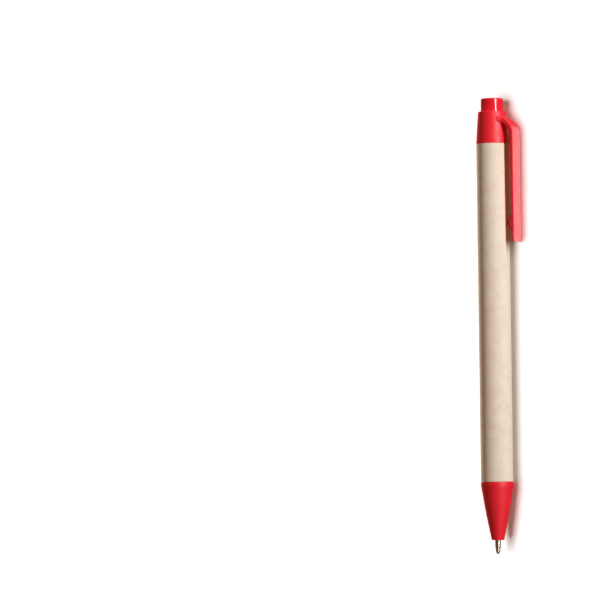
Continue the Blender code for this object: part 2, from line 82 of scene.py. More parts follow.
# Sizes that the CAD sets.
BARREL_START, BARREL_END = along("barrel_tube")
COLLAR_START, COLLAR_TOP = along("collar")
BUTTON_START, PEN_LENGTH = along("push_button")
CLIP_END = along("clip")[0]
NOSE_START, SPIGOT_END = along("nose_cone")
SPRING_START, SPRING_END = along("return_spring")
HOLDER_START, HOLDER_END = along("tip_holder")
TUBE_START, TUBE_END = along("refill_tube")
INK_START, INK_END = along("ink_column")
PLUG_START, PLUG_END = along("refill_plug")
HOUSING_START, HOUSING_END = along("point_housing")
BARREL_RADIUS = AXIS.z

# Sizes of the shapes drawn here.
TUBE_BORE = 4.15 * MM
SPIGOT_RADIUS = 4.1 * MM
NOSE_SHOULDER = BARREL_START - 0.05 * MM
NOSE_BAND = 1.25 * MM
NOSE_TIP_RADIUS = 1.9 * MM
NOSE_BULGE = 0.13 * MM
COLLAR_TOP_RADIUS = 4.3 * MM
COLLAR_BOTTOM = BARREL_END + 0.05 * MM
BUTTON_RADIUS = 3.44 * MM
BUTTON_BORE = 3.5 * MM
CLIP_OUTER = 8.28 * MM
CLIP_HALF_WIDTH = 2.42 * MM
CLIP_THICK_END = 0.63 * MM
CLIP_THICK_TOP = 1.15 * MM
CLIP_TAPER_START = 97.0 * MM
CLIP_TAPER_END = 127.0 * MM
CLIP_ROOT_TOP = 134.75 * MM
CLIP_ROOT_THICK = 1.4 * MM
NUB_PLACE = 101.4 * MM
NUB_HALF_LENGTH = 4.9 * MM
NUB_HALF_WIDTH = 2.2 * MM
NUB_TIP = 5.1 * MM
POINT_RADIUS = 0.875 * MM
SHANK_RADIUS = 1.15 * MM
HOLDER_RADIUS = 1.75 * MM
REFILL_RADIUS = 1.5 * MM
REFILL_BORE = 1.1 * MM
BALL_RADIUS = 0.5 * MM
SPRING_WIRE = 0.4 * MM
SPRING_RADIUS = 2.15 * MM
SPRING_TURNS = 11

SIDES = 128


# ---------------------------------------------------------------- shapes


def rounded(corners, steps=5):
    """The outline through corners (x, y, radius), each rounded by its own radius."""
    found = []
    for i, (x, y, radius) in enumerate(corners):
        corner = Vector((x, y))
        if not radius:
            found.append(corner)
            continue
        before = (Vector(corners[i - 1][:2]) - corner).normalized()
        after = (Vector(corners[(i + 1) % len(corners)][:2]) - corner).normalized()
        half = before.angle(after) / 2
        centre = corner + (before + after).normalized() * radius / math.sin(half)
        start = corner + before * radius / math.tan(half) - centre
        end = corner + after * radius / math.tan(half) - centre
        first = math.atan2(start.y, start.x)
        sweep = math.remainder(math.atan2(end.y, end.x) - first, math.tau)
        for k in range(steps + 1):
            angle = first + sweep * k / steps
            found.append(centre + radius * Vector((math.cos(angle), math.sin(angle))))
    return found


def bezier(a, b, c, d, steps):
    """Points along a cubic curve from a to d."""
    found = []
    for i in range(steps + 1):
        t = i / steps
        weights = ((1 - t) ** 3, 3 * (1 - t) ** 2 * t, 3 * (1 - t) * t * t, t**3)
        found.append(sum((w * Vector(p) for w, p in zip(weights, (a, b, c, d))), Vector((0.0, 0.0))))
    return found


def piece(name, shape, material):
    """A bmesh drawn on the upright pen, laid down in the frame as one smooth object."""
    bmesh.ops.recalc_face_normals(shape, faces=shape.faces)
    mesh = bpy.data.meshes.new(name)
    shape.to_mesh(mesh)
    shape.free()
    mesh.transform(PEN)
    mesh.shade_smooth()
    mesh.materials.append(material)
    obj = bpy.data.objects.new(name, mesh)
    bpy.context.scene.collection.objects.link(obj)
    normals = obj.modifiers.new("Even normals", "WEIGHTED_NORMAL")
    normals.keep_sharp = True
    return obj


def turned_shape(profile, sides=SIDES):
    """A profile of (radius, place along the pen) turned about the pen's axis."""
    shape = bmesh.new()
    rim = [shape.verts.new((radius, 0.0, place)) for radius, place in profile]
    edges = [shape.edges.new(pair) for pair in zip(rim, rim[1:])]
    if profile[0][0] > 0:
        edges.append(shape.edges.new((rim[-1], rim[0])))
    bmesh.ops.spin(
        shape,
        geom=rim + edges,
        cent=(0, 0, 0),
        axis=(0, 0, 1),
        angle=math.tau,
        steps=sides,
        use_merge=True,
    )
    bmesh.ops.remove_doubles(shape, verts=shape.verts, dist=1e-7)
    return shape


def turned(name, corners, material, sides=SIDES):
    """A turned piece, drawn by the corners of its profile."""
    return piece(name, turned_shape(rounded(corners), sides), material)


def stand_for(obj, body, slot, *nodes):
    """A piece that rides on one body, in place of CAD nodes."""
    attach(obj, body)
    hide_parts(*nodes)


def nose_cone(material):
    """The tapered front: a straight band by the paper, a shallow groove, and a slightly barrelled cone."""
    band = NOSE_SHOULDER - NOSE_BAND
    outer = BARREL_RADIUS
    groove = outer - 0.09 * MM
    cone_top = Vector((outer - 0.05 * MM, band - 0.16 * MM))
    tip = Vector((NOSE_TIP_RADIUS, NOSE_START))
    neck = SPIGOT_RADIUS - 0.1 * MM
    mouth = POINT_RADIUS + 0.125 * MM
    mouth_end = 5.3 * MM
    shank_room = SHANK_RADIUS + 0.15 * MM
    shank_room_end = 8.7 * MM
    holder_room = HOLDER_RADIUS + 0.15 * MM
    spring_room = 2.45 * MM
    spring_seat = 12.0 * MM
    spring_room_end = 20.0 * MM
    rear_bore = 3.1 * MM
    bevel = 0.2 * MM
    steps = 16
    cone = []
    for i in range(1, steps):
        share = i / steps
        place = cone_top.lerp(tip, share)
        cone.append((place.x + 4 * NOSE_BULGE * share * (1 - share), place.y, 0))
    corners = [
        (SPIGOT_RADIUS, SPIGOT_END, 0.15 * MM),
        (SPIGOT_RADIUS, NOSE_SHOULDER + 0.3 * MM, 0.05 * MM),
        (neck, NOSE_SHOULDER + 0.15 * MM, 0),
        (neck, NOSE_SHOULDER, 0),
        (outer, NOSE_SHOULDER, 0.07 * MM),
        (outer, band, 0.07 * MM),
        (groove, band - 0.06 * MM, 0.02 * MM),
        (cone_top.x, cone_top.y, 0.03 * MM),
        *cone,
        (tip.x, tip.y, 0.16 * MM),
        (mouth, NOSE_START, 0.08 * MM),
        (mouth, mouth_end, 0),
        (shank_room, mouth_end + bevel, 0),
        (shank_room, shank_room_end, 0),
        (holder_room, shank_room_end + bevel, 0),
        (holder_room, spring_seat, 0.05 * MM),
        (spring_room, spring_seat, 0.05 * MM),
        (spring_room, spring_room_end, 0),
        (rear_bore, spring_room_end + 2.0 * MM, 0),
        (rear_bore, SPIGOT_END, 0.15 * MM),
    ]
    stand_for(turned("nose", corners, material), "nose", "red_satin_plastic", "nose_cone")


def barrel_tube(material):
    """The wound paper tube. Its outer wrap ends in a thin lap along the back."""
    lap = 0.04 * MM
    lap_angle = math.radians(160)
    outer = BARREL_RADIUS
    corners = [
        (outer, BARREL_END, 0.06 * MM),
        (outer, BARREL_START, 0.06 * MM),
        (TUBE_BORE, BARREL_START, 0.05 * MM),
        (TUBE_BORE, BARREL_END, 0.05 * MM),
    ]
    shape = turned_shape(rounded(corners, steps=4), sides=180)
    for vert in shape.verts:
        radius = math.hypot(vert.co.x, vert.co.y)
        if radius > (outer + TUBE_BORE) / 2:
            turn = (math.atan2(vert.co.y, vert.co.x) - lap_angle) % math.tau / math.tau
            vert.co.xy *= 1 - lap * turn / radius
    stand_for(piece("barrel", shape, material), "barrel", "kraft_paper", "barrel_tube")


def collar_radius(place):
    """The collar's tapering radius at a place along the pen."""
    share = (place - COLLAR_BOTTOM) / (COLLAR_TOP - COLLAR_BOTTOM)
    return BARREL_RADIUS + (COLLAR_TOP_RADIUS - BARREL_RADIUS) * share


def collar(material):
    """The tapered ring that guides the button: a rounded rim, a fine line and a long spigot in the tube."""
    line = COLLAR_BOTTOM + 0.75 * MM
    line_half = 0.1 * MM
    line_depth = 0.05 * MM
    corners = [
        (BUTTON_BORE, COLLAR_START, 0.1 * MM),
        (BUTTON_BORE, COLLAR_TOP, 0.12 * MM),
        (COLLAR_TOP_RADIUS, COLLAR_TOP, 0.36 * MM),
        (collar_radius(line + line_half), line + line_half, 0.03 * MM),
        (collar_radius(line) - line_depth, line, 0.03 * MM),
        (collar_radius(line - line_half), line - line_half, 0.03 * MM),
        (BARREL_RADIUS, COLLAR_BOTTOM, 0.09 * MM),
        (SPIGOT_RADIUS, COLLAR_BOTTOM, 0),
        (SPIGOT_RADIUS, COLLAR_START, 0.15 * MM),
    ]
    stand_for(turned("button_collar", corners, material), "barrel", "red_satin_plastic", "collar")


def resampled(path, count):
    """Points evenly spaced along a path, its ends included."""
    points = np.array([tuple(p) for p in path])
    gaps = np.linalg.norm(np.diff(points, axis=0), axis=1)
    places = np.concatenate([[0.0], np.cumsum(gaps)])
    wanted = np.linspace(0.0, places[-1], count)
    return [Vector((np.interp(s, places, points[:, 0]), np.interp(s, places, points[:, 1]))) for s in wanted]


def clip_stations():
    """Pairs of outer and inner points (out from the axis, along the pen), from the free end to the root."""
    end_round = 0.25 * MM
    inner_end = CLIP_OUTER - CLIP_THICK_END
    inner_top = CLIP_OUTER - CLIP_THICK_TOP
    inner = bezier(
        (CLIP_OUTER - end_round, CLIP_END),
        (CLIP_OUTER - 0.45 * MM, CLIP_END),
        (inner_end, CLIP_END + 0.6 * MM),
        (inner_end, CLIP_TAPER_START),
        steps=30,
    )
    inner.append(Vector((inner_top, CLIP_TAPER_END)))
    first_steps = (0.03, 0.06, 0.1, 0.15, 0.21, 0.28, 0.37, 0.48, 0.6, 0.75, 1.0)
    places = [CLIP_END + step * MM for step in first_steps]
    fine = 0.15 * MM
    coarse = 0.5 * MM
    while places[-1] < CLIP_TAPER_END - 2 * coarse:
        near_nub = abs(places[-1] - NUB_PLACE) < NUB_HALF_LENGTH + coarse
        places.append(places[-1] + (fine if near_nub else coarse))
    found = []
    for place in places:
        into = min(place - CLIP_END, end_round)
        outer_x = CLIP_OUTER - end_round + math.sqrt(end_round**2 - (end_round - into) ** 2)
        inner_x = np.interp(place, [p.y for p in inner], [p.x for p in inner])
        found.append((Vector((outer_x, place)), Vector((inner_x, place))))
    root = 2.0 * MM
    root_under = CLIP_ROOT_TOP - CLIP_ROOT_THICK
    arch_top = bezier(
        (CLIP_OUTER, 128.6 * MM),
        (CLIP_OUTER, 131.3 * MM),
        (6.9 * MM, 132.3 * MM),
        (3.7 * MM, CLIP_ROOT_TOP - 0.35 * MM),
        steps=40,
    )
    arch_under = bezier(
        (inner_top, CLIP_TAPER_END),
        (inner_top, 130.0 * MM),
        (6.5 * MM, 131.0 * MM),
        (3.4 * MM, root_under - 0.45 * MM),
        steps=40,
    )
    outer_path = [Vector((CLIP_OUTER, CLIP_TAPER_END))] + arch_top + [Vector((root, CLIP_ROOT_TOP))]
    inner_path = arch_under + [Vector((root, root_under))]
    arch_count = 100
    return found + list(zip(resampled(outer_path, arch_count), resampled(inner_path, arch_count)))


def clip_half_width(place):
    """Half the clip's width, with rounded corners at its free end."""
    corner = 0.75 * MM
    short = max(CLIP_END + corner - place, 0.0)
    return CLIP_HALF_WIDTH - corner + math.sqrt(corner**2 - short**2)


def clip_section(outer, inner, steps=24, turns=4):
    """One closed loop round the clip: its outer half from left to right, then its inner half back."""
    thick = (outer - inner).length
    most = 0.45 * thick
    outer_round = min(0.24 * MM, most)
    inner_round = min(0.16 * MM, most)

    def point(shrink, depth, side):
        """A point at a depth below the outer face, drawn in from the side's full width."""
        place = outer.lerp(inner, depth / thick)
        return Vector((place.x, side * (clip_half_width(place.y) - shrink), place.y))

    def corner(radius, depth_at, side):
        """From the clip's side to its face."""
        found = []
        for i in range(turns + 1):
            angle = math.pi / 2 * i / turns
            depth = radius - radius * math.sin(angle)
            found.append(point(radius - radius * math.cos(angle), depth_at(depth), side))
        return found

    def face(first, last):
        """The points between two corners."""
        return [first.lerp(last, i / steps) for i in range(1, steps)]

    outer_left = corner(outer_round, lambda depth: depth, -1)
    outer_right = corner(outer_round, lambda depth: depth, 1)[::-1]
    inner_right = corner(inner_round, lambda depth: thick - depth, 1)
    inner_left = corner(inner_round, lambda depth: thick - depth, -1)[::-1]
    loop = outer_left + face(outer_left[-1], outer_right[0]) + outer_right
    return loop + inner_right + face(inner_right[-1], inner_left[0]) + inner_left


def flowed_into_collar(place, normal, buried):
    """A point of the clip's root, moved so that its sides sweep out and its faces blend into the collar."""
    side_reach = 0.9 * MM
    side_sweep = 1.55 * MM
    face_blend = 0.3 * MM
    least_slope = 0.05
    radius = math.hypot(place.x, place.y)
    wall = collar_radius(place.z)
    gap = max(radius - wall, 0.0)
    turn = math.atan2(place.y, place.x)
    across = normal.dot(Vector((-math.sin(turn), math.cos(turn), 0.0)))
    size = math.hypot(across, normal.z)
    if size > least_slope:
        side = side_sweep * (1 - math.sqrt(1 - max(1 - gap / side_reach, 0.0) ** 2))
        face = face_blend * (1 - math.sqrt(1 - max(1 - gap / face_blend, 0.0) ** 2))
        turn += side * across / size / wall
        place.z += face * normal.z / size
    radius = max(radius, wall - buried)
    return Vector((radius * math.cos(turn), radius * math.sin(turn), place.z))


def clip(material):
    """The springy arm: it arches out of the collar and ends in a round nub."""
    shape = bmesh.new()
    loops = []
    for outer, inner in clip_stations():
        loops.append([shape.verts.new(p) for p in clip_section(outer, inner)])
    count = len(loops[0])
    for low, high in zip(loops, loops[1:]):
        for i in range(count):
            j = (i + 1) % count
            shape.faces.new((low[i], low[j], high[j], high[i]))
    shape.faces.new(loops[0][::-1])
    root = loops[-1]
    for i in range(count // 2 - 1):
        shape.faces.new((root[i], root[i + 1], root[count - 2 - i], root[count - 1 - i]))
    bmesh.ops.recalc_face_normals(shape, faces=shape.faces)
    shape.normal_update()

    buried = 0.3 * MM
    inner_side = -0.05
    nub_height = CLIP_OUTER - CLIP_THICK_END - NUB_TIP
    moved = []
    for vert in shape.verts:
        place = vert.co.copy()
        if place.z > CLIP_TAPER_END:
            place = flowed_into_collar(place, vert.normal, buried)
        ring = math.hypot(place.y / NUB_HALF_WIDTH, (place.z - NUB_PLACE) / NUB_HALF_LENGTH)
        if ring < 1 and vert.normal.x < inner_side:
            place.x -= nub_height * (1 + math.cos(math.pi * ring)) / 2
        moved.append((vert, place))
    for vert, place in moved:
        vert.co = place
    bmesh.ops.remove_doubles(shape, verts=shape.verts, dist=1e-6)
    bmesh.ops.dissolve_degenerate(shape, edges=shape.edges, dist=1e-6)
    obj = piece("pocket_clip", shape, material)
    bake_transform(obj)
    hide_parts("clip")


def push_button(material):
    """The hollow cap, with a softly domed end."""
    dome_rise = 0.16 * MM
    dome_reach = BUTTON_RADIUS - 0.6 * MM
    dome_steps = 8
    bore = 2.75 * MM
    bore_end = PEN_LENGTH - 1.3 * MM
    dome = []
    for i in range(dome_steps + 1):
        share = i / dome_steps
        dome.append((dome_reach * share, PEN_LENGTH - dome_rise * share * share, 0))
    corners = dome + [
        (BUTTON_RADIUS, PEN_LENGTH - dome_rise - 0.04 * MM, 0.5 * MM),
        (BUTTON_RADIUS, BUTTON_START, 0.1 * MM),
        (bore, BUTTON_START, 0.1 * MM),
        (bore, bore_end, 0.2 * MM),
        (0.0, bore_end, 0),
    ]
    stand_for(turned("button_cap", corners, material), "button", "red_gloss_plastic", "push_button")


def point_housing(material):
    """The turned metal point: a lip spun over the ball, a cone, a cylinder and a wider shank."""
    rim = BALL_RADIUS + 0.1 * MM
    shank_start = 7.2 * MM
    cone_top = 2.2 * MM
    cone_end = 0.75 * MM
    socket_end = 0.95 * MM
    channel = 0.3 * MM
    channel_start = 1.2 * MM
    corners = [
        (SHANK_RADIUS, HOUSING_END, 0.06 * MM),
        (SHANK_RADIUS, shank_start, 0.05 * MM),
        (POINT_RADIUS, shank_start - 0.2 * MM, 0.05 * MM),
        (POINT_RADIUS, cone_top + 0.12 * MM, 0.05 * MM),
        (POINT_RADIUS - 0.06 * MM, cone_top, 0.04 * MM),
        (rim + 0.04 * MM, cone_end, 0.1 * MM),
        (rim - 0.04 * MM, HOUSING_START, 0.03 * MM),
        (BALL_RADIUS + 0.03 * MM, HOUSING_START, 0.02 * MM),
        (BALL_RADIUS + 0.05 * MM, socket_end, 0),
        (channel, channel_start, 0),
        (channel, HOUSING_END, 0.03 * MM),
    ]
    stand_for(turned("metal_point", corners, material, sides=96), "refill", "nickel_silver", "point_housing")


def writing_ball(material):
    """The ball, with its front on the pen's tip."""
    shape = bmesh.new()
    bmesh.ops.create_icosphere(shape, subdivisions=5, radius=BALL_RADIUS)
    bmesh.ops.translate(shape, verts=shape.verts, vec=(0.0, 0.0, BALL_RADIUS))
    stand_for(piece("ball", shape, material), "ball", "tungsten_carbide", "writing_ball")


def tip_holder(material):
    """The moulded holder, with two grip rings, the spring's flange and a spigot in the refill's tube."""
    flange = 26.0 * MM
    flange_end = 27.0 * MM
    flange_radius = 2.3 * MM
    spigot = REFILL_BORE - 0.05 * MM
    socket = SHANK_RADIUS + 0.05 * MM
    socket_end = 13.2 * MM
    channel = 0.5 * MM
    ring_half = 0.2 * MM
    rings = []
    for place in (24.2 * MM, 23.2 * MM):
        rings += [
            (HOLDER_RADIUS, place + ring_half, 0.05 * MM),
            (HOLDER_RADIUS - 0.12 * MM, place, 0.05 * MM),
            (HOLDER_RADIUS, place - ring_half, 0.05 * MM),
        ]
    corners = [
        (spigot, HOLDER_END, 0.05 * MM),
        (spigot, flange_end, 0),
        (flange_radius, flange_end, 0.1 * MM),
        (flange_radius, flange, 0.1 * MM),
        (HOLDER_RADIUS, flange, 0.05 * MM),
        *rings,
        (HOLDER_RADIUS, HOLDER_START + 0.5 * MM, 0.15 * MM),
        (HOLDER_RADIUS - 0.35 * MM, HOLDER_START, 0.08 * MM),
        (socket, HOLDER_START, 0.03 * MM),
        (socket, socket_end, 0),
        (channel, socket_end, 0),
        (channel, HOLDER_END, 0.05 * MM),
    ]
    stand_for(turned("point_holder", corners, material, sides=96), "refill", "natural_plastic", "tip_holder")


def refill(tube_material, ink_material, plug_material):
    """The refill's tube, its ink with a curved end, and the vented plug."""
    tube = [
        (REFILL_RADIUS, TUBE_END, 0.05 * MM),
        (REFILL_RADIUS, TUBE_START, 0.05 * MM),
        (REFILL_BORE, TUBE_START, 0.05 * MM),
        (REFILL_BORE, TUBE_END, 0.05 * MM),
    ]
    stand_for(turned("ink_tube", tube, tube_material, sides=96), "refill", "clear_plastic", "refill_tube")
    inside = REFILL_BORE - 0.05 * MM
    ink = [
        (0.0, INK_END - 0.5 * MM, 0),
        (inside * 0.6, INK_END - 0.4 * MM, 0.5 * MM),
        (inside, INK_END, 0.02 * MM),
        (inside, INK_START, 0.1 * MM),
        (0.0, INK_START, 0),
    ]
    stand_for(turned("ink", ink, ink_material, sides=64), "refill", "blue_ink", "ink_column")
    head = TUBE_END + 0.05 * MM
    vent = 0.35 * MM
    plug = [
        (REFILL_RADIUS, PLUG_END, 0.1 * MM),
        (REFILL_RADIUS, head, 0.05 * MM),
        (inside, head, 0),
        (inside, PLUG_START, 0.15 * MM),
        (vent, PLUG_START, 0.05 * MM),
        (vent, PLUG_END, 0.08 * MM),
    ]
    stand_for(turned("vent_plug", plug, plug_material, sides=64), "refill", "natural_plastic", "refill_plug")


def return_spring(material):
    """The coil, with a closed turn at each end."""
    ring = 14
    steps = 56
    wire = SPRING_WIRE / 2
    pitch_closed = SPRING_WIRE * 1.15
    low = SPRING_START + wire
    high = SPRING_END - wire
    pitch_open = (high - low - 2 * pitch_closed) / (SPRING_TURNS - 2)
    shape = bmesh.new()
    loops = []
    height = low
    for i in range(SPRING_TURNS * steps + 1):
        turns = i / steps
        angle = math.tau * turns
        out = Vector((math.cos(angle), math.sin(angle), 0.0))
        closed = turns < 1 or turns >= SPRING_TURNS - 1
        pitch = pitch_closed if closed else pitch_open
        forward = Vector((-out.y, out.x, pitch / (math.tau * SPRING_RADIUS))).normalized()
        across = out.cross(forward)
        centre = out * SPRING_RADIUS + Vector((0.0, 0.0, height))
        loop = []
        for k in range(ring):
            turn = math.tau * k / ring
            loop.append(shape.verts.new(centre + wire * (out * math.cos(turn) + across * math.sin(turn))))
        loops.append(loop)
        height += pitch / steps
    for one, other in zip(loops, loops[1:]):
        for k in range(ring):
            j = (k + 1) % ring
            shape.faces.new((one[k], one[j], other[j], other[k]))
    shape.faces.new(loops[0])
    shape.faces.new(loops[-1])
    obj = piece("coil_spring", shape, material)
    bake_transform(obj)
    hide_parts("return_spring")


# ---------------------------------------------------------------- materials


def node(tree, kind, inputs, **settings):
    """A new shader node, with its settings made and its inputs linked or set."""
    made = tree.nodes.new("ShaderNode" + kind)
    for name, value in settings.items():
        setattr(made, name, value)
    for key, value in inputs.items():
        if isinstance(value, bpy.types.NodeSocket):
            tree.links.new(value, made.inputs[key])
        else:
            made.inputs[key].default_value = value
    return made


def material(name, metallic=0.0, specular=0.5):
    """A new material: its tree, its shader and its coordinates in the frame, in metres."""
    made = bpy.data.materials.new(name)
    made.use_nodes = True
    tree = made.node_tree
    shader = tree.nodes["Principled BSDF"]
    shader.inputs["Metallic"].default_value = metallic
    shader.inputs["Specular IOR Level"].default_value = specular
    place = node(tree, "TexCoord", {}).outputs["Object"]
    return made, tree, shader, place


def noise(tree, place, scale, detail=2.0, roughness=0.5):
    """Cloudy noise from 0 to 1, with so many lumps a metre."""
    inputs = {"Vector": place, "Scale": scale, "Detail": detail, "Roughness": roughness}
    return node(tree, "TexNoise", inputs).outputs[0]


def ramp(tree, value, low, high, bottom=0.0, top=1.0):
    """Bottom below low and top above high, smoothly between."""
    inputs = {"Value": value, "From Min": low, "From Max": high, "To Min": bottom, "To Max": top}
    return node(tree, "MapRange", inputs, interpolation_type="SMOOTHSTEP").outputs[0]


def math_node(tree, operation, first, second=0.0):
    return node(tree, "Math", {0: first, 1: second}, operation=operation).outputs[0]


def mixed(tree, share, one, other):
    """A colour between one and the other."""
    return node(tree, "Mix", {0: share, 6: one, 7: other}, data_type="RGBA").outputs[2]


def stretched(tree, place, scale, turn=0.0):
    """Coordinates scaled unevenly, and turned about Z first."""
    turned_place = node(tree, "Mapping", {"Vector": place, "Rotation": (0.0, 0.0, turn)}).outputs[0]
    return node(tree, "Mapping", {"Vector": turned_place, "Scale": scale}).outputs[0]


def round_the_pen(tree, place):
    """Coordinates on the unrolled barrel: round it, along it and out from its axis. The last also alone."""
    centred = node(tree, "VectorMath", {0: place, 1: (AXIS.x, 0.0, AXIS.z)}, operation="SUBTRACT").outputs[0]
    parts = node(tree, "SeparateXYZ", {0: centred}).outputs
    angle = math_node(tree, "ARCTAN2", parts["Z"], parts["X"])
    around = math_node(tree, "MULTIPLY", angle, BARREL_RADIUS)
    flat = node(tree, "CombineXYZ", {"X": parts["X"], "Z": parts["Z"]}).outputs[0]
    out = node(tree, "VectorMath", {0: flat}, operation="LENGTH").outputs["Value"]
    return node(tree, "CombineXYZ", {"X": around, "Y": parts["Y"], "Z": out}).outputs[0], out


def bump(tree, shader, height, distance, strength=1.0, before=None):
    """Gives the shader a relief of this height map, on top of the normal before it."""
    inputs = {"Height": height, "Distance": distance, "Strength": strength}
    if before is not None:
        inputs["Normal"] = before
    normal = node(tree, "Bump", inputs).outputs[0]
    tree.links.new(normal, shader.inputs["Normal"])
    return normal


def edge_wear(tree):
    """1 on convex edges and 0 elsewhere."""
    return ramp(tree, node(tree, "NewGeometry", {}).outputs["Pointiness"], 0.53, 0.60)


RED = (0.86, 0.009, 0.031, 1.0)
RED_DEEP = (0.78, 0.006, 0.021, 1.0)
RED_WORN = (0.92, 0.060, 0.095, 1.0)


def moulded_red(name, roughness, grain, specular, coat):
    """Red ABS: slight flow marks, the mould's fine grain, rubbed patches and paler worn edges."""
    made, tree, shader, place = material(name, specular=specular)
    flow = noise(tree, stretched(tree, place, (1.0, 0.35, 1.0)), 260.0, 3.0)
    color = mixed(tree, ramp(tree, flow, 0.3, 0.7), RED_DEEP, RED)
    patches = ramp(tree, noise(tree, place, 900.0, 4.0), 0.42, 0.62)
    worn = math_node(tree, "MULTIPLY", edge_wear(tree), patches)
    color = mixed(tree, math_node(tree, "MULTIPLY", worn, 0.5), color, RED_WORN)
    tree.links.new(color, shader.inputs["Base Color"])
    rubbed = ramp(tree, noise(tree, place, 420.0, 4.0, 0.6), 0.45, 0.7, 0.0, 0.1)
    fine = ramp(tree, noise(tree, place, 5200.0, 3.0), 0.3, 0.7, roughness - 0.04, roughness + 0.05)
    tree.links.new(math_node(tree, "ADD", rubbed, fine), shader.inputs["Roughness"])
    skin = noise(tree, place, 7000.0, 3.0, 0.6)
    first = bump(tree, shader, skin, grain)
    scratch = noise(tree, stretched(tree, place, (9000.0, 500.0, 9000.0), 0.35), 1.0, 1.0)
    bump(tree, shader, ramp(tree, scratch, 0.68, 0.74), -0.7 * grain, 0.5, first)
    shader.inputs["Coat Weight"].default_value = coat
    shader.inputs["Coat Roughness"].default_value = 0.08
    return made


KRAFT = (0.735, 0.635, 0.510, 1.0)
KRAFT_PALE = (0.785, 0.710, 0.595, 1.0)
KRAFT_DARK = (0.60, 0.470, 0.320, 1.0)
FIBRE_DARK = (0.36, 0.220, 0.120, 1.0)
FIBRE_PALE = (0.88, 0.800, 0.680, 1.0)
NICKEL = (0.58, 0.56, 0.53, 1.0)
NICKEL_DULL = (0.42, 0.40, 0.37, 1.0)
STEEL = (0.60, 0.60, 0.61, 1.0)
STEEL_DULL = (0.46, 0.46, 0.48, 1.0)
CARBIDE = (0.30, 0.30, 0.34, 1.0)
CARBIDE_INKED = (0.10, 0.11, 0.20, 1.0)
NATURAL = (0.80, 0.78, 0.71, 1.0)
NATURAL_PALE = (0.86, 0.85, 0.80, 1.0)
INK_DEEP = (0.006, 0.010, 0.10, 1.0)
INK_THIN = (0.02, 0.03, 0.24, 1.0)
TABLE = (0.84, 0.835, 0.825, 1.0)
TABLE_PALE = (0.87, 0.865, 0.855, 1.0)
SURROUND = (1.0, 0.60, 0.34, 1.0)


def fibres(tree, place, turn, seed, low, high):
    """Thin streaks in one direction, each about a millimetre long."""
    shifted = node(tree, "VectorMath", {0: place, 1: (seed, seed, 0.0)}, operation="ADD").outputs[0]
    streak = noise(tree, stretched(tree, shifted, (950.0, 11000.0, 0.0), turn), 1.0, 2.0, 0.4)
    patch = ramp(tree, noise(tree, shifted, 700.0), 0.45, 0.6)
    return math_node(tree, "MULTIPLY", ramp(tree, streak, low, high), patch)


def kraft_paper():
    """Wound kraft paper: cloudy pulp, pale and brown fibres, specks, and plies at its cut ends."""
    made, tree, shader, place = material("kraft_paper", specular=0.25)
    sheet, out = round_the_pen(tree, place)
    cloud = noise(tree, sheet, 330.0, 5.0, 0.62)
    color = mixed(tree, ramp(tree, cloud, 0.32, 0.68), KRAFT, KRAFT_PALE)
    pulp = noise(tree, sheet, 2600.0, 4.0, 0.7)
    color = mixed(tree, ramp(tree, pulp, 0.52, 0.8, 0.0, 0.5), color, KRAFT_DARK)
    height = pulp
    for i, turn in enumerate((0.15, 1.1, 2.0, 2.75)):
        streak = fibres(tree, sheet, turn, 0.013 * (i + 1), 0.66, 0.74)
        color = mixed(tree, math_node(tree, "MULTIPLY", streak, 0.55), color, FIBRE_DARK)
        pale = fibres(tree, sheet, turn + 0.6, 0.029 * (i + 1), 0.64, 0.74)
        color = mixed(tree, math_node(tree, "MULTIPLY", pale, 0.5), color, FIBRE_PALE)
        height = math_node(tree, "ADD", height, math_node(tree, "MULTIPLY", pale, 0.5))
    cells = node(tree, "TexVoronoi", {"Vector": sheet, "Scale": 650.0, "Randomness": 1.0}).outputs
    dot = math_node(tree, "LESS_THAN", cells["Distance"], 0.09)
    draw = node(tree, "SeparateXYZ", {0: cells["Color"]}).outputs[0]
    chosen = math_node(tree, "GREATER_THAN", draw, 0.75)
    speck = math_node(tree, "MULTIPLY", math_node(tree, "MULTIPLY", dot, chosen), 0.6)
    color = mixed(tree, speck, color, FIBRE_DARK)
    ply_thick = 0.14 * MM
    ply = math_node(tree, "SINE", math_node(tree, "MULTIPLY", out, math.tau / ply_thick))
    cut = ramp(tree, out, BARREL_RADIUS - 0.1 * MM, BARREL_RADIUS - 0.05 * MM, 0.35, 0.0)
    ply_share = math_node(tree, "MULTIPLY", ramp(tree, ply, -0.2, 0.9), cut)
    color = mixed(tree, ply_share, color, KRAFT_DARK)
    tree.links.new(color, shader.inputs["Base Color"])
    tree.links.new(ramp(tree, pulp, 0.3, 0.7, 0.78, 0.92), shader.inputs["Roughness"])
    bump(tree, shader, height, 0.02 * MM, 0.6)
    shader.inputs["Sheen Weight"].default_value = 0.12
    shader.inputs["Sheen Roughness"].default_value = 0.6
    return made


def turned_metal(name, light, dark, roughness, line_scale):
    """Bright metal with fine lathe or drawing lines and a slight tarnish."""
    made, tree, shader, place = material(name, metallic=1.0)
    tarnish = noise(tree, place, 1500.0, 4.0, 0.6)
    tree.links.new(mixed(tree, ramp(tree, tarnish, 0.35, 0.7), light, dark), shader.inputs["Base Color"])
    lines = noise(tree, stretched(tree, place, (400.0, line_scale, 400.0)), 1.0, 3.0)
    rough = ramp(tree, lines, 0.3, 0.7, roughness - 0.05, roughness + 0.09)
    tree.links.new(rough, shader.inputs["Roughness"])
    bump(tree, shader, lines, 0.0005 * MM, 0.6)
    return made


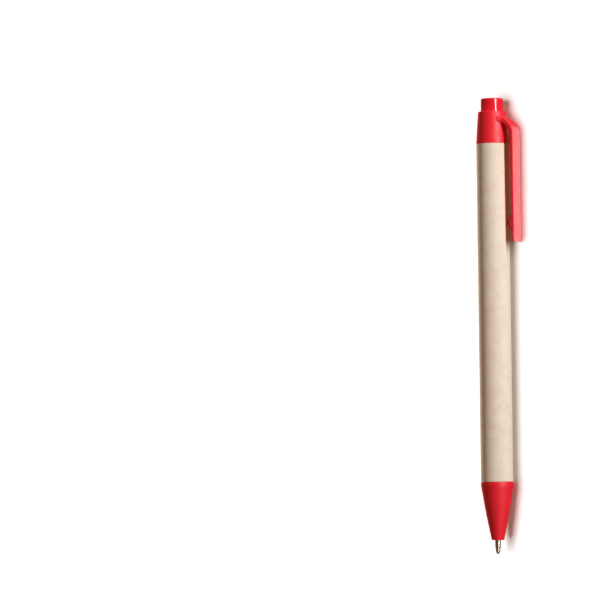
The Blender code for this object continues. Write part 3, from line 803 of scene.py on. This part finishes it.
def moulded_natural(name, roughness, transmission=0.0):
    """Unpigmented polypropylene or acetal: milky, with faint flow lines."""
    made, tree, shader, place = material(name)
    flow = noise(tree, stretched(tree, place, (1.0, 0.3, 1.0)), 700.0, 3.0)
    color = mixed(tree, ramp(tree, flow, 0.3, 0.7), NATURAL, NATURAL_PALE)
    tree.links.new(color, shader.inputs["Base Color"])
    fine = noise(tree, place, 6000.0, 2.0)
    rough = ramp(tree, fine, 0.3, 0.7, roughness - 0.05, roughness + 0.08)
    tree.links.new(rough, shader.inputs["Roughness"])
    bump(tree, shader, fine, 0.004 * MM, 0.6)
    shader.inputs["Transmission Weight"].default_value = transmission
    shader.inputs["Subsurface Weight"].default_value = 0.15 if not transmission else 0.0
    shader.inputs["Subsurface Scale"].default_value = 0.6 * MM
    return made


def ink_material():
    """Oily blue ink that streaks on the tube's wall."""
    made, tree, shader, place = material("blue_ink", specular=0.6)
    streak = noise(tree, stretched(tree, place, (1800.0, 260.0, 1800.0)), 1.0, 3.0)
    color = mixed(tree, ramp(tree, streak, 0.35, 0.7), INK_DEEP, INK_THIN)
    tree.links.new(color, shader.inputs["Base Color"])
    tree.links.new(ramp(tree, streak, 0.3, 0.7, 0.08, 0.2), shader.inputs["Roughness"])
    bump(tree, shader, streak, 0.01 * MM, 0.4)
    return made


# ---------------------------------------------------------------- stage


def area_light(name, place, width, height, power, color=(1.0, 1.0, 1.0)):
    """A rectangular lamp aimed at the pen, whose width lies level and whose height stands up."""
    target = Vector((AXIS.x, 0.0, AXIS.z))
    lamp = bpy.data.lights.new(name, "AREA")
    lamp.shape = "RECTANGLE"
    lamp.size = width
    lamp.size_y = height
    lamp.energy = power
    lamp.color = color
    obj = bpy.data.objects.new(name, lamp)
    obj.location = place
    obj.rotation_euler = (target - Vector(place)).to_track_quat("-Z", "Y").to_euler()
    obj.visible_camera = False
    bpy.context.scene.collection.objects.link(obj)
    return obj


def table_top():
    """A plain pale table, wide enough for every view. It sends no light, shade or reflection to the pen."""
    made, tree, shader, place = material("pale_table", specular=0.15)
    shade = ramp(tree, noise(tree, place, 3.0, 2.0), 0.3, 0.7)
    color = mixed(tree, shade, TABLE, TABLE_PALE)
    tree.links.new(color, shader.inputs["Base Color"])
    tree.links.new(ramp(tree, noise(tree, place, 900.0), 0.3, 0.7, 0.75, 0.85), shader.inputs["Roughness"])
    shape = bmesh.new()
    bmesh.ops.create_circle(shape, cap_ends=True, segments=64, radius=6.0)
    mesh = bpy.data.meshes.new("table_top")
    shape.to_mesh(mesh)
    shape.free()
    mesh.materials.append(made)
    obj = bpy.data.objects.new("table_top", mesh)
    bpy.context.scene.collection.objects.link(obj)
    obj.visible_diffuse = False
    obj.visible_glossy = False
    obj.visible_shadow = False
    return obj


def light_only(lamp, objects):
    """Keeps a lamp's light to these objects."""
    group = bpy.data.collections.new("lit_by_" + lamp.name)
    for obj in objects:
        group.objects.link(obj)
    lamp.light_linking.receiver_collection = group


def studio(table, bright_pieces, clip_piece):
    """A long softbox low on the clip's side, a weaker one behind, and a dim warm surround.

    The overhead lights only the table. The other two are seen only in reflections: the glint is a bright
    line on glossy and metal pieces, and the sheen, below the table, is a bright table seen in the clip.
    """
    long = 0.9
    area_light("key", (0.6, 0.34, 0.035), long, height=0.07, power=6.8, color=(0.98, 0.98, 0.99))
    fill = area_light("fill", (-0.6, 0.1, -0.05), long, height=0.3, power=6.5, color=(1.0, 0.95, 0.88))
    fill.visible_glossy = False
    wide = 1.2
    overhead = area_light("overhead", (-0.1, 0.0, 1.3), wide, wide, power=25.0, color=(0.96, 1.0, 1.04))
    light_only(overhead, [table])
    glint = area_light("glint", (0.6, 0.0, 0.025), long, height=0.05, power=3.4, color=(1.0, 0.93, 0.85))
    glint.visible_diffuse = False
    light_only(glint, bright_pieces)
    sheen = area_light("sheen", (0.06, 0.02, -0.5), width=0.5, height=0.5, power=2.2)
    sheen.visible_diffuse = False
    light_only(sheen, [clip_piece])
    world = bpy.data.worlds.new("surround")
    world.use_nodes = True
    background = world.node_tree.nodes["Background"]
    background.inputs["Color"].default_value = SURROUND
    background.inputs["Strength"].default_value = 0.2
    bpy.context.scene.world = world
    bpy.context.scene.view_settings.view_transform = "Standard"


def camera():
    """Looks down at the pen from the clip's side, so that the clip points 62 degrees off the line of sight.

    It stands a little towards the writing end, so that the round edges curve up in the picture.
    """
    clip_off_sight = math.radians(62)
    distance = 1.5
    seen_width = 184.1 * MM
    pen_right_of_middle = 59.7 * MM
    looked_at = 78.63 * MM
    lean = math.radians(0.73)
    tilt = math.radians(2.2)
    sensor = 36.0
    pen_off_middle = math.atan(pen_right_of_middle / distance)
    toward = Matrix.Rotation(pen_off_middle - clip_off_sight, 3, ALONG) @ CLIP_WAY
    right = ALONG.cross(toward)
    middle = Vector((AXIS.x, TIP_Y + looked_at, AXIS.z)) - right * pen_right_of_middle
    toward = (toward - ALONG * math.tan(tilt)).normalized()
    up = toward.cross(right) * math.cos(lean) + right * math.sin(lean)
    side = up.cross(toward)
    data = bpy.data.cameras.new("camera")
    data.sensor_width = sensor
    data.lens = sensor * distance / seen_width
    data.clip_start = 0.05
    data.clip_end = 20.0
    obj = bpy.data.objects.new("camera", data)
    turn = Matrix((side, up, toward)).transposed().to_4x4()
    obj.matrix_world = Matrix.Translation(middle + toward * distance) @ turn
    bpy.context.scene.collection.objects.link(obj)
    bpy.context.scene.camera = obj


# ---------------------------------------------------------------- the pen

satin = moulded_red("red_satin_plastic", roughness=0.44, grain=0.006 * MM, specular=0.65, coat=0.0)
gloss = moulded_red("red_gloss_plastic", roughness=0.17, grain=0.0004 * MM, specular=0.42, coat=0.5)
natural = moulded_natural("natural_plastic", roughness=0.42)
clear = moulded_natural("clear_plastic", roughness=0.22, transmission=0.7)
nickel = turned_metal("nickel_silver", NICKEL, NICKEL_DULL, roughness=0.17, line_scale=30000.0)
steel = turned_metal("spring_steel", STEEL, STEEL_DULL, roughness=0.24, line_scale=2500.0)
carbide = turned_metal("tungsten_carbide", CARBIDE, CARBIDE_INKED, roughness=0.15, line_scale=1200.0)

camera()
nose_cone(satin)
barrel_tube(kraft_paper())
collar(satin)
clip(satin)
push_button(gloss)
point_housing(nickel)
writing_ball(carbide)
tip_holder(natural)
refill(clear, ink_material(), natural)
return_spring(steel)
for name in ("cam_sleeve", "cam_plunger", "index_rotor"):
    for held in frame["nodes"][name].material_slots:
        held.material = natural
bright = [bpy.data.objects[name] for name in ("button_cap", "metal_point", "ball")]
studio(table_top(), bright, bpy.data.objects["pocket_clip"])
